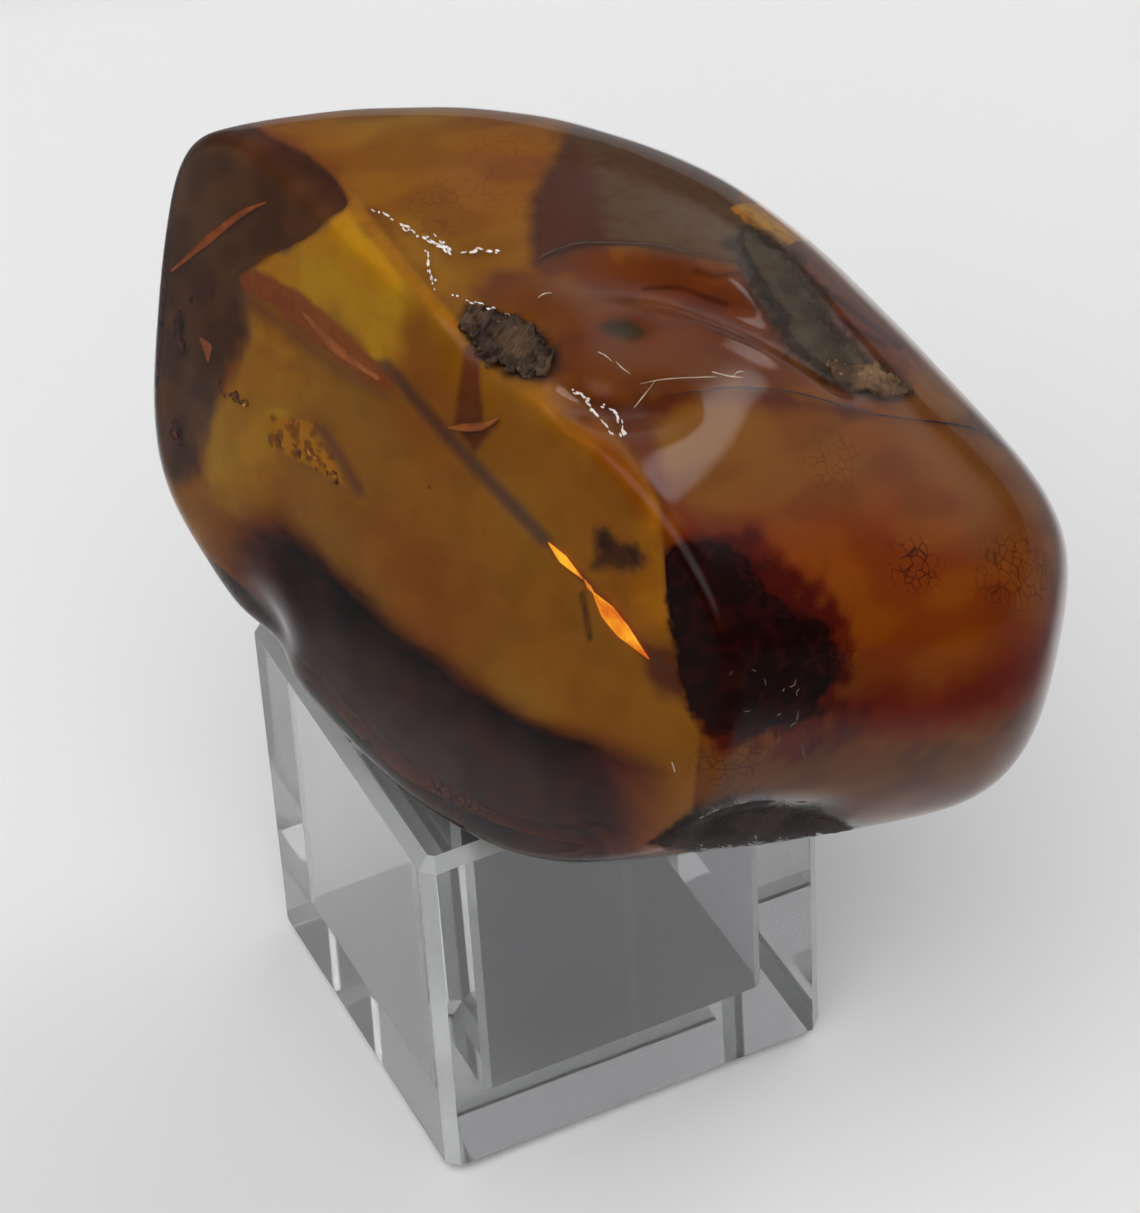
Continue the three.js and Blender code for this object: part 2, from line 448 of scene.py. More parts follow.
# Outlines, paths and spots below are photo pixels; they are carried onto the skin along the line of sight
carried = dict(
    pixelsPerMm=11.6, reach=6,  # distances are cut off at this many millimetres
    turned=0.55, fall=16,  # how far past the outline a shape goes on, as a cosine, and how steeply it ends there
)


def wrapped(inside):
    # millimetres inside a shape in the photo, carried a little way round to where the skin turns away
    reach = carried["reach"]
    seen = np.clip(inside / carried["pixelsPerMm"], -reach, reach)
    return np.maximum(np.minimum(seen, (facing + carried["turned"]) * carried["fall"]), -reach)


def nearStroke(path, width):
    # how far within half the width of a stroke drawn through the points
    return width / 2 - nearPath(skinPixel, curveThrough(path, 4 * len(path)))


# Cloud: the milky body under the skin, deep where the amber is clear
cloud = dict(
    depth=0.7, depthChange=0.25,  # millimetres of clear amber over it
    base=((0.40, 0.15, 0.006), (0.48, 0.20, 0.010)),  # the two colours that the clouding drifts between
    roughness=0.6, shallowest=0.25,
    grain=700, fleckCover=0.7, seamCover=0.85,
    crazeScale=1000, crazeCover=0.8, crazeTint=(0.07, 0.014, 0.005),
    hazeCover=0.08, hazeTint=(0.08, 0.03, 0.008),
    # pockets of clear red amber on the sides that the photo doesn't show
    pocketSize=30, pocketDepth=3, pocketTint=(0.19, 0.032, 0.005),
    windowBase=((0.54, 0.252, 0.024), (0.605, 0.285, 0.029)),
    ridge=[(140, 330), (150, 200), (190, 118), (243, 126), (290, 143), (345, 188), (400, 256), (435, 300),
           (470, 340), (500, 375), (555, 385), (600, 420), (643, 474), (660, 505), (667, 546), (673, 585),
           (691, 690), (705, 742), (690, 880), (500, 880), (280, 730), (180, 600), (140, 450)],
    ridgeSoft=0.3,
    # soft zones: outline, how soft and how ragged the edge is, depth (all in millimetres) and two colours
    outer=dict(
        topPlane=([(180, 100), (400, 90), (560, 100), (530, 200), (536, 262), (480, 290), (440, 300), (400, 256),
                   (345, 188), (290, 143), (243, 126)], 0.8, 0.6, 0.1, (0.5, 0.215, 0.008), (0.62, 0.3, 0.012)),
        # reddish: the amber's own reddish brown, lightened by a painted sheen
        reddish=([(535, 262), (590, 242), (735, 260), (770, 240), (850, 250), (930, 370), (900, 400), (840, 370),
                  (720, 318), (600, 288)], 0.6, 0.7, 0.6, (0.27, 0.085, 0.026), (0.35, 0.115, 0.03)),
        midLobe=([(470, 290), (540, 262), (600, 288), (720, 320), (840, 385), (900, 400), (760, 388), (640, 398),
                  (580, 390), (555, 370), (552, 330)], 1.0, 0.5, 0.3, (0.28, 0.098, 0.040), (0.335, 0.128, 0.045)),
        valley=([(545, 372), (600, 395), (640, 398), (700, 387), (760, 390), (850, 408), (900, 420), (760, 402),
                 (690, 402), (655, 430), (672, 540), (650, 480), (610, 420)], 0.9, 0.3, 0.3,
                (0.21, 0.048, 0.012), (0.27, 0.072, 0.016)),
        lobeLow=([(690, 540), (760, 510), (850, 500), (950, 520), (1040, 560), (1075, 640), (1040, 740), (940, 715),
                  (860, 700), (800, 640), (760, 580)], 4.0, 0.8, 0.1, (0.44, 0.09, 0.002), (0.54, 0.14, 0.003)),
        lobeFlank=([(655, 470), (690, 500), (760, 545), (800, 600), (720, 560), (676, 560)], 2.4, 0.5, 0.2,
                   (0.28, 0.03, 0.002), (0.36, 0.05, 0.003)),
        lobeRim=([(960, 425), (998, 439), (1029, 467), (1050, 508), (1060, 553), (1052, 640), (1036, 690), (1090, 690),
                  (1100, 500), (1000, 400)], 0.8, 0.3, 0.3, (0.22, 0.07, 0.03), (0.28, 0.09, 0.04)),
        bellyLine=([(830, 700), (900, 690), (980, 680), (1060, 620), (1070, 690), (1000, 722), (920, 748),
                    (850, 742)], 1.8, 0.6, 0.3, (0.34, 0.033, 0.002), (0.44, 0.055, 0.003)),
        belly=([(700, 750), (790, 745), (860, 738), (930, 748), (1010, 728), (1070, 680), (1050, 770), (960, 820),
                (860, 850), (700, 860), (640, 850)], 1.0, 0.8, 0.2, (0.24, 0.08, 0.02), (0.34, 0.136, 0.024)),
        patchRim=([(668, 545), (720, 530), (772, 548), (806, 588), (850, 630), (868, 690), (856, 735), (790, 758),
                   (720, 752), (698, 700), (684, 640), (674, 590)], 1.0, 1.0, 0.3,
                  (0.16, 0.010, 0.002), (0.27, 0.032, 0.003)),
        underShade=([(640, 842), (680, 818), (760, 806), (830, 810), (870, 826), (860, 850), (640, 870)],
                    1.0, 0.3, 0.2, (0.05, 0.035, 0.025), (0.07, 0.05, 0.035)),
    ),
    inner=dict(
        yellow=([(236, 262), (262, 236), (335, 200), (352, 192), (385, 250), (408, 300), (398, 350), (372, 366),
                 (330, 310), (270, 285)], 1.4, 0.4, -0.45, (0.97, 0.46, 0.012), (0.99, 0.55, 0.018)),
        yellowLeft=([(200, 400), (222, 320), (250, 318), (300, 372), (300, 420), (260, 470), (245, 520), (215, 530),
                     (195, 480)], 2.2, 0.8, -0.1, (0.74, 0.39, 0.018), (0.88, 0.50, 0.022)),
        edgeBand=([(552, 384), (600, 424), (640, 470), (662, 512), (672, 545), (655, 545), (632, 500), (595, 450),
                   (560, 412)], 0.9, 0.3, 0.1, (0.44, 0.135, 0.006), (0.54, 0.19, 0.008)),
        # glow: painted light, a brighter honey strip along the ridge where light gathers
        glow=([(650, 500), (665, 540), (676, 600), (684, 645), (660, 640), (640, 600), (645, 560)], 1.2, 0.4, -0.2,
              (0.72, 0.3, 0.008), (0.84, 0.38, 0.012)),
        mauveFoot=([(640, 650), (672, 645), (690, 655), (706, 725), (660, 690)], 0.7, 0.3, 0.1,
                   (0.21, 0.072, 0.04), (0.24, 0.088, 0.044)),
        topLeftClear=([(130, 330), (140, 200), (180, 110), (250, 112), (320, 165), (340, 198), (300, 230), (256, 242),
                       (226, 270), (232, 330), (208, 400), (190, 470), (130, 480)], 1.3, 0.6, 0.8,
                      (0.150, 0.102, 0.105), (0.230, 0.148, 0.140)),
        ridgeShade=([(225, 118), (250, 112), (320, 160), (338, 190), (322, 196), (290, 168), (250, 146)],
                    1.4, 0.2, 0.2, (0.10, 0.04, 0.03), (0.15, 0.055, 0.04)),
        lowerClear=([(225, 535), (255, 528), (330, 590), (390, 650), (460, 700), (530, 740), (600, 768), (650, 800),
                     (640, 900), (400, 880), (200, 700)], 3.0, 0.4, 3.0, (0.058, 0.016, 0.01), (0.09, 0.024, 0.014)),
        lowerDark=([(235, 540), (260, 540), (330, 600), (390, 660), (460, 712), (540, 752), (600, 790), (560, 800),
                    (450, 740), (360, 670), (290, 620)], 2.2, 0.4, 0.5, (0.010, 0.006, 0.006), (0.016, 0.010, 0.009)),
    ),
    # sharp-edged zones: outline, softness, raggedness, depth, colour and the colour of the flecks in it
    figures=dict(
        # purple: the amber's own purple-brown, made paler and greyer by a painted sheen
        purple=([(529, 230), (530, 191), (541, 169), (565, 130), (585, 100), (650, 110), (745, 175), (735, 205),
                 (775, 240), (762, 262), (735, 260), (700, 252), (640, 241), (590, 240), (546, 252), (534, 261)],
                0.5, 0.1, 0.5, (0.205, 0.150, 0.110), (0.21, 0.110, 0.065)),
        yellowPatch=([(728, 203), (780, 203), (826, 240), (797, 240), (784, 248), (774, 245)], 0.1, 0.1, -0.2,
                     (0.95, 0.46, 0.012), (0.75, 0.32, 0.01)),
        redPatch=([(673, 553), (688, 548), (712, 548), (733, 553), (753, 570), (774, 598), (795, 618), (815, 625),
                   (836, 636), (846, 660), (843, 687), (833, 715), (809, 732), (781, 739), (747, 744), (712, 742),
                   (702, 725), (691, 691), (681, 646), (674, 601)], 0.5, 1.3, 0.8, (0.021, 0.002, 0.003),
                  (0.05, 0.004, 0.004)),
        # painted light: the bright yellow band along the ridge's rounded edge, where light comes through it
        litLip=([(322, 170), (345, 188), (400, 256), (440, 302), (470, 340), (462, 346), (425, 305), (385, 258),
              (340, 204)], 0.35, 0.15, -0.2, (0.74, 0.31, 0.012), (0.66, 0.26, 0.010)),
        veil=([(228, 262), (250, 262), (300, 290), (330, 316), (352, 338), (386, 368), (394, 390), (360, 380),
               (310, 340), (262, 296), (235, 285)], 0.35, 0.4, -0.2, (0.50, 0.14, 0.03), (0.62, 0.18, 0.05)),
        tab=([(461, 340), (474, 340), (482, 418), (450, 424)], 0.35, 0.1, 0.1, (0.28, 0.10, 0.05), (0.25, 0.09, 0.04)),
        # painted shade: the purple-brown shade under the orange bow
        shadeUnderBow=([(455, 424), (498, 420), (472, 452)], 0.5, 0.1, 0.0, (0.25, 0.08, 0.04), (0.22, 0.07, 0.03)),
        blob=([(597, 530), (608, 527), (620, 540), (640, 547), (652, 562), (640, 573), (616, 570), (592, 572),
               (600, 550)], 0.7, 0.5, 0.0, (0.13, 0.06, 0.045), (0.05, 0.035, 0.032)),
        greySpot=([(598, 324), (610, 317), (626, 316), (641, 324), (647, 333), (632, 338), (612, 335)], 0.6, 0.1, -0.3,
                  (0.11, 0.10, 0.085), (0.09, 0.08, 0.07)),
        plantGold=([(261, 418), (270, 413), (292, 417), (311, 421), (323, 440), (336, 462), (344, 486), (330, 482),
                    (312, 468), (290, 458), (268, 448)], 0.25, 0.5, -0.3, (0.85, 0.36, 0.003), (0.30, 0.07, 0.002)),
    ),
    # and a second layer of them over the first
    overFigures=dict(
        deepPurple=([(529, 230), (530, 191), (541, 169), (570, 140), (600, 175), (608, 238), (590, 240), (534, 261)],
                    1.2, 0.5, 0.3, (0.165, 0.056, 0.034), (0.17, 0.05, 0.03)),
        greyPitShade=([(728, 236), (752, 222), (790, 246), (812, 290), (838, 330), (874, 354), (910, 378), (916, 398),
                       (870, 398), (820, 370), (786, 330), (758, 284)], 0.8, 0.8, 0.0, (0.085, 0.055, 0.038),
                      (0.05, 0.025, 0.018)),
        brownPitShade=([(456, 318), (462, 302), (492, 306), (530, 322), (556, 344), (562, 366), (540, 382), (506, 376),
                        (474, 350)], 0.6, 0.5, 0.0, (0.10, 0.04, 0.018), (0.06, 0.025, 0.012)),
    ),
    # dark seams: path, width, softness and colour
    seams=dict(
        crack=([(384, 362), (420, 404), (468, 458), (545, 540)], 14, 0.5, (0.20, 0.115, 0.12)),
        crackEnd=([(545, 540), (600, 596), (668, 672)], 8, 0.4, (0.20, 0.085, 0.075)),
        plantShade=([(318, 428), (330, 446), (342, 466), (354, 490)], 10, 0.6, (0.26, 0.11, 0.075)),
        veilShade=([(240, 292), (290, 330), (340, 370), (380, 392)], 9, 0.9, (0.34, 0.13, 0.05)),
        redStreakA=([(645, 282), (667, 278), (689, 279), (711, 287), (733, 295)], 5, 0.3, (0.08, 0.012, 0.006)),
        redStreakB=([(795, 262), (825, 288), (850, 305), (905, 348)], 7, 0.4, (0.08, 0.010, 0.008)),
        redStreakC=([(820, 300), (850, 322), (890, 345)], 6, 0.4, (0.10, 0.014, 0.008)),
        redStreakD=([(700, 262), (722, 268), (745, 268)], 5, 0.4, (0.08, 0.010, 0.006)),
        streak=([(584, 596), (588, 618), (592, 642)], 6, 0.3, (0.08, 0.036, 0.024)),
    ),
    # fine crazing just under the polish: middle and reach in photo pixels, and its strength
    crazing=[(920, 568, 40, 1.0), (1016, 575, 55, 0.7), (430, 205, 50, 0.35), (495, 165, 70, 0.22),
             (735, 768, 52, 0.6), (838, 460, 50, 0.4), (842, 662, 30, 1.0), (770, 585, 30, 1.0), (800, 612, 30, 1.0)],
)
# drift between a zone's two colours, and the wander of its edge
cloudTone = smooth(ripple(skin, 9, 12) + ripple(skin @ np.diag([0.5, 1.6, 1.6]), 8, 13), -1.0, 1.0)[:, None]
ragged = ripple(skin, 8, 14) + 0.5 * ripple(skin, 2.4, 15)


def zoneCover(outline, soft, rag):
    # how far a soft zone covers each point, with its edge moved in and out
    inside = wrapped(insideOutline(skinPixel, outline))
    return inside, smooth(inside + rag * ragged, -soft, soft)[:, None]


def drifting(dim, bright):
    return np.array(dim) * (1 - cloudTone) + np.array(bright) * cloudTone


def sinking(inside, soft, depth):
    # how far a zone lowers the cloud, over a slope that is wide enough for its depth
    return depth * smooth(inside, -max(soft, 0.5), max(soft, 0.3 * depth))


def cloudGround(base, zones):
    # the base colours with each zone over the last; deep zones sink the cloud
    ground, sunk = drifting(*base), 0
    for outline, soft, rag, depth, dim, bright in zones.values():
        inside, cover = zoneCover(outline, soft, rag)
        ground = ground * (1 - cover) + drifting(dim, bright) * cover
        sunk = sunk + sinking(inside, soft, depth)
    return ground, sunk


outerGround, outerSunk = cloudGround(cloud["base"], cloud["outer"])
innerGround, innerSunk = cloudGround(cloud["windowBase"], cloud["inner"])
ridgeInside = wrapped(insideOutline(skinPixel, cloud["ridge"]))
cloudDepth = cloud["depth"] + cloud["depthChange"] * ripple(skin, 16, 11)
cloudDepth += outerSunk + (innerSunk - outerSunk) * smooth(ridgeInside, -0.5, 0.5)
layers = {}


def pickNearest(name, inside, **values):
    # at each point: how far inside the nearest shape of a layer, in units of its softness, and that shape's values
    nearest = np.argmax(inside, axis=0)
    layers[name] = np.max(inside, axis=0)
    for key, each in values.items():
        layers[name + key] = np.array(each)[nearest]


for layer, figures in (("figure", cloud["figures"]), ("over", cloud["overFigures"])):
    inside = []
    for outline, soft, rag, depth, shade, fleck in figures.values():
        edge = wrapped(insideOutline(skinPixel, outline))
        inside.append(edge / soft)
        cloudDepth += sinking(edge, soft, depth)
    pickNearest(layer, inside, Rag=[2 * f[2] / f[1] for f in figures.values()],
                Shade=[f[4] for f in figures.values()], Fleck=[f[5] for f in figures.values()])
seams = cloud["seams"].values()
pickNearest("seam", [wrapped(nearStroke(path, width)) / soft for path, width, soft, shade in seams],
            Shade=[seam[3] for seam in seams])
hidden = smooth(-facing, 0.05, 0.4)  # 1 on the sides that the photo doesn't show
pocket = smooth(3 * ripple(skin, cloud["pocketSize"], 21) + 0.6 * ragged - 1.6 - 8 * (1 - hidden), -0.6, 1.0)
outerGround += (np.array(cloud["pocketTint"]) - outerGround) * pocket[:, None]
cloudDepth = np.maximum(cloudDepth, cloud["shallowest"]) + cloud["pocketDepth"] * pocket
# depth along the normal, turned into depth along the ray from the middle
sink = cloudDepth / np.maximum(0.5, (skinNormal * ways).sum(1))
cloudPiece = addPiece("cloud", nugget["middle"] + ways * (skinRadius - sink)[:, None], quads, "amber")
crazed = np.max([strength * smooth(1 - np.hypot(skinPixel[:, 0] - x, skinPixel[:, 1] - y) / reach, 0, 0.6)
                 for x, y, reach, strength in cloud["crazing"]], axis=0) * (facing > 0)
crazed = np.maximum(crazed, smooth(ripple(skin, 22, 31), 0.55, 0.9) * hidden)
for name, values in dict(layers, ridge=ridgeInside, crazed=crazed, outer=outerGround, inner=innerGround).items():
    paint(cloudPiece, name, values)


def cloudFinish():
    # the two painted grounds on either side of the ridge, then figures, seams, crazing and fine clouding
    look = Shader("milkyAmber")
    grain = look.noise(cloud["grain"], 2)
    tint = look.mix(look.painted("ridge").smooth(-cloud["ridgeSoft"], cloud["ridgeSoft"]),
                    look.painted("outer", "Color"), look.painted("inner", "Color"))
    flecked = grain.smooth(0.46, 0.62) * cloud["fleckCover"]
    for layer in ("figure", "over"):
        edge = look.painted(layer) + (grain - 0.5) * look.painted(layer + "Rag")
        shade = look.mix(flecked, look.painted(layer + "Shade", "Color"), look.painted(layer + "Fleck", "Color"))
        tint = look.mix(edge.smooth(-1, 1), tint, shade)
    seam = look.painted("seam").smooth(-1, 1) * cloud["seamCover"]
    tint = look.mix(seam, tint, look.painted("seamShade", "Color"))
    lines = 1 - look.cells(cloud["crazeScale"]).smooth(0.01, 0.09)
    craze = lines * look.painted("crazed") * grain.smooth(0.32, 0.5) * cloud["crazeCover"]
    tint = look.mix(craze, tint, cloud["crazeTint"])
    tint = look.mix(grain.smooth(0.5, 0.75) * cloud["hazeCover"], tint, cloud["hazeTint"])
    look.surface({"Base Color": tint, "Roughness": cloud["roughness"], "Specular IOR Level": 0.0})
    look.on(cloudPiece)


cloudFinish()
print("cloud:", len(cloud["outer"]) + len(cloud["inner"]), "zones,", len(cloud["figures"]), "figures")


def nuggetFinish():
    # clear amber that takes up blue and green, polished by hand
    look = Shader("polishedAmber")
    rough = nugget["roughness"] + look.painted("smear") * nugget["smear"]
    look.surface({"Base Color": (1, 1, 1, 1), "Roughness": rough, "IOR": nugget["ior"],
                  "Transmission Weight": 1.0, "Specular Tint": nugget["gloss"]})
    look.absorb(nugget["tint"], nugget["absorption"])
    look.on(nuggetPiece)


nuggetFinish()


# Bands: lenses carried along a path just under or on the skin
def bandShape(path, widths, depth=0.3, thick=0.1, tilt=0.0, rough=0.0, fray=0.0, rings=70, sides=16, seed=1):
    # across the path goes half the width * cos, into the skin thickness * sin, round a full turn at each step; path
    # and widths are photo pixels, depth and thickness millimetres
    line = curveThrough(path, rings)
    run = np.gradient(line, axis=0)
    side = np.stack([run[:, 1], -run[:, 0]], 1) / np.linalg.norm(run, axis=1, keepdims=True)
    along = np.linspace(0, 1, rings)
    spread = np.interp(along, np.linspace(0, 1, len(widths)), widths) / 2
    turn = np.linspace(0, 2 * math.pi, sides, endpoint=False)
    offset = side[:, None] * (spread[:, None] * np.cos(turn))[..., None]
    if fray:
        spots = np.insert((line[:, None] + offset).reshape(-1, 2), 2, 0, axis=1)
        offset *= 1 + fray * ripple(spots, 20, seed).reshape(rings, sides, 1)
    at = skinUnder((line[:, None] + offset).reshape(-1, 2))
    swell = np.minimum(1, spread / (0.35 * spread.max()))[:, None] * thick
    raised = (swell * np.sin(turn) - depth - tilt * np.cos(turn)).ravel()
    if rough:
        raised += rough * np.abs(ripple(at, 1.6, seed)) + rough * 0.6 * ripple(at, 0.7, seed + 1)
    return at + normalAt(at) * raised[:, None], tubeFaces(rings, sides)


def joined(shapes):
    # several shapes as one set of points and faces
    points, faces, start = [], [], 0
    for p, f in shapes:
        points.append(p)
        faces += [[k + start for k in face] for face in f]
        start += len(p)
    return np.vstack(points), faces


veils = dict(
    orangeArc=dict(path=[(262, 203), (238, 214), (205, 240), (168, 272)], widths=(2, 7, 9, 3), depth=0.9,
                   thick=0.15),
    veilCore=dict(path=[(300, 312), (335, 345), (378, 380)], widths=(2, 16, 3), depth=0.3, thick=0.08, tilt=0.1),
    bow=dict(path=[(447, 428), (462, 428), (480, 427), (498, 418)], widths=(2, 8, 8, 2), depth=0.3, thick=0.08),
    sideGlint=dict(path=[(198, 338), (205, 348), (206, 362)], widths=(2, 10, 2), depth=0.5, thick=0.1),
)
hairlines = dict(
    topLine=dict(path=[(534, 261), (546, 252), (568, 243), (590, 240), (640, 241), (673, 245), (700, 252),
                       (733, 261)], widths=(1, 3, 3, 3, 2, 2, 1), depth=0.35, thick=0.04),
    lobeLine=dict(path=[(667, 394), (733, 386), (795, 391), (846, 405), (888, 415), (963, 425), (998, 439),
                        (1029, 467), (1050, 508)], widths=(1, 2, 2, 2, 2, 2, 3, 3, 1), depth=0.35, thick=0.04),
)
# painted glints: orange sheets in the cracks that shine by their own emission, standing in for the light the cracks
# mirror
glints = dict(
    upper=dict(path=[(547, 543), (562, 560), (582, 580)], widths=(1, 9, 1), depth=0.3, thick=0.08),
    middle=dict(path=[(583, 580), (588, 588), (594, 596)], widths=(1, 4, 1), depth=0.3, thick=0.06),
    lower=dict(path=[(591, 592), (606, 612), (622, 632), (648, 660)], widths=(1, 15, 15, 1), depth=0.3, thick=0.1),
)
streaks = dict(stretch=(900, 300, 500), turn=(0.3, 0.6, 0.2), roughness=0.3)


def veilFinish(name, dim, bright, glow=0.0):
    # streaked resin; with a glow it also shines by emission, a painted glint standing in for the light it mirrors from
    # a bright face inside the nugget
    look = Shader(name)
    streak = look.noise(1.0, 3, look.stretched(streaks["stretch"], streaks["turn"]))
    tint = look.mix(streak.smooth(0.35, 0.68), dim, bright)
    sockets = {"Base Color": tint, "Roughness": streaks["roughness"]}
    if glow:
        sockets.update({"Emission Color": tint, "Emission Strength": glow})
        look.owner.cycles.emission_sampling = "NONE"  # the clear skin would stop rays aimed at it
    look.surface(sockets)
    return look


veilLook = veilFinish("redVeil", (0.55, 0.14, 0.03), (0.85, 0.26, 0.05))
# the inner glint shines by emission: painted light
glintLook = veilFinish("innerGlint", (0.60, 0.12, 0.0), (1.0, 0.46, 0.02), 0.9)
lineLook = veilFinish("darkLine", (0.05, 0.010, 0.005), (0.16, 0.05, 0.015))
bands = (("veils", veils, veilLook), ("hairlines", hairlines, lineLook), ("glint", glints, glintLook))
for name, made, look in bands:
    look.on(addPiece(name, *joined([bandShape(**b) for b in made.values()]), "amber"))
print("veils placed")


# Crust: weathered rind left in the hollows
crusts = dict(
    brownPit=dict(path=[(463, 316), (482, 326), (508, 342), (532, 356), (552, 362)], widths=(26, 54, 64, 58, 26),
                  depth=0.1, thick=0.2, rough=0.22, fray=0.1, rings=120, sides=60, seed=41),
    greyPit=dict(path=[(744, 230), (772, 268), (796, 305), (822, 345), (850, 366), (880, 380)],
                 widths=(24, 70, 76, 72, 54, 12), depth=0.08, thick=0.12, rough=0.03, fray=0.15, rings=160, sides=60,
                 seed=43),
    greyPitEnd=dict(path=[(822, 362), (850, 374), (880, 384), (914, 392)], widths=(8, 38, 38, 6), depth=0.06,
                    thick=0.14, rough=0.12, fray=0.2, rings=90, sides=48, seed=44),
    underPit=dict(path=[(644, 845), (700, 832), (755, 825), (812, 828), (868, 835)], widths=(8, 58, 70, 54, 8),
                  depth=0.08, thick=0.12, rough=0.03, fray=0.08, rings=140, sides=48, seed=45),
)
rindGrain = dict(blotch=420, fleck=2200, paler=2.2, bump=0.0001, shine=0.25)


def bandCore(widths, rings, sides, **rest):
    # 1 along the middle of a band and 0 at its border
    spread = np.interp(np.linspace(0, 1, rings), np.linspace(0, 1, len(widths)), widths)
    turn = np.linspace(0, 2 * math.pi, sides, endpoint=False)
    return (np.minimum(1, spread / (0.5 * spread.max()))[:, None] * (1 - np.abs(np.cos(turn)))).ravel()


def crustFinish(name, dark, pale, rough, flecks=0.3, fade=None):
    # two blotched colours with paler flecks; a rind thins out towards its border
    look = Shader(name)
    blotch = look.noise(rindGrain["blotch"], 5)
    fleck = look.noise(rindGrain["fleck"], 3)
    tint = look.mix(blotch.smooth(0.38, 0.66), dark, pale)
    paler = tuple(min(1, c * rindGrain["paler"]) for c in pale)
    tint = look.mix(fleck.smooth(0.58, 0.72) * flecks, tint, paler)
    sockets = {"Base Color": tint, "Roughness": rough + (fleck - 0.5) * 0.2, "Specular IOR Level": rindGrain["shine"],
               "Normal": look.bump(fleck + blotch, rindGrain["bump"])}
    if fade:
        sockets["Alpha"] = (look.painted("core") + (blotch + fleck - 1) * 0.5).smooth(*fade)
    look.surface(sockets)
    return look


crustLooks = dict(
    brownPit=crustFinish("brownRind", (0.022, 0.010, 0.005), (0.085, 0.046, 0.022), 0.6, 0.5, (0.05, 0.35)),
    greyPit=crustFinish("greyRind", (0.042, 0.029, 0.019), (0.075, 0.054, 0.035), 0.85, 0.1, (0.05, 0.75)),
    greyPitEnd=crustFinish("roughRind", (0.060, 0.032, 0.016), (0.18, 0.10, 0.05), 0.7, 0.5, (0.05, 0.6)),
    underPit=crustFinish("lowRind", (0.021, 0.0145, 0.013), (0.044, 0.029, 0.024), 0.8, 0.15, (0.05, 0.7)),
)
for name, shape in crusts.items():
    rind = addPiece(name, *bandShape(**shape), "amber")
    paint(rind, "core", bandCore(**shape))
    crustLooks[name].on(rind)
print("crusts placed")


# Crumbs: plant bits, specks and small hollows sealed in the amber
crumbs = dict(
    # each field: seed, count, start and end in photo pixels, width, smallest and largest size, depth
    fields=dict(
        plant=[(51, 8, (266, 436), (310, 452), 6, (0.15, 0.45), 0.35),
               (55, 10, (300, 448), (340, 482), 7, (0.15, 0.5), 0.35)],
        specks=[(61, 12, (210, 384), (243, 406), 5, (0.12, 0.36), 0.4)],
        holes=[],
    ),
    # lone ones: photo pixel, size, depth, seed
    lone=dict(
        plant=[],
        specks=[((428, 487), 0.2, 0.35, 71)],
        holes=[((175, 326), 1.0, 1.0, 81), ((177, 345), 0.8, 0.9, 85), ((190, 300), 0.4, 0.4, 83),
               ((174, 434), 0.8, 0.8, 84)],
    ),
    # finish: name, dark and pale colours, roughness
    finish=dict(
        plant=("plantBits", (0.09, 0.02, 0.002), (0.50, 0.16, 0.004), 0.4),
        specks=("goldSpecks", (0.18, 0.05, 0.006), (0.60, 0.24, 0.012), 0.4),
        holes=("redHollows", (0.05, 0.014, 0.010), (0.11, 0.03, 0.016), 0.3),
    ),
    cells=5, lumpiness=0.3, stretch=(0.6, 1.3),
)


def crumbShape(spot, size, depth, seed):
    # a lump whose radius is size * (1 + ripple), at a depth under a photo pixel
    round_, faces = cubeGrid(crumbs["cells"])
    at = skinUnder(np.array([spot]))
    stretch = np.random.default_rng(seed).uniform(*crumbs["stretch"], 3)
    lumpy = round_ * (1 + crumbs["lumpiness"] * ripple(round_, 1.3, seed))[:, None] * stretch * size
    return at - normalAt(at) * depth + lumpy, faces.tolist()


def crumbField(seed, count, start, end, width, sizes, depth):
    # crumbs scattered along a stretch of the photo, seeded
    rng = np.random.default_rng(seed)
    t = rng.uniform(0, 1, (count, 1))
    spots = np.array(start) * (1 - t) + np.array(end) * t + rng.normal(0, width / 2, (count, 2))
    return [crumbShape(s, rng.uniform(*sizes), depth, seed + k) for k, s in enumerate(spots)]


for name, finish in crumbs["finish"].items():
    shapes = [c for field in crumbs["fields"][name] for c in crumbField(*field)]
    shapes += [crumbShape(*one) for one in crumbs["lone"][name]]
    crustFinish(*finish).on(addPiece(name, *joined(shapes), "amber"))
print("crumbs placed")


# Chips: left by the polishing along the ridge, lying on the skin; their pale colour is a painted highlight, the
# sparkle of the chipped ridge
sparkleChips = dict(
    # strokes in photo pixels and the number of chips along each
    strokes=[
        ([(372, 208), (420, 236), (452, 250)], 34), ([(428, 252), (430, 268), (434, 288)], 16),
        ([(434, 234), (442, 244), (450, 254)], 14), ([(465, 252), (482, 250), (500, 253)], 14),
        ([(452, 294), (490, 308), (524, 322)], 18), ([(583, 400), (597, 415), (614, 437)], 12),
        ([(572, 391), (590, 400), (612, 409), (618, 415), (621, 425), (625, 436)], 28),
    ],
    stray=1.3, halfLength=(0.8, 3.2), width=(1.2, 3.4), taper=0.3,  # photo pixels; ends against the middle
    depth=-0.02, thick=0.06,  # millimetres
    firstSeed=101, seedStep=40,
)


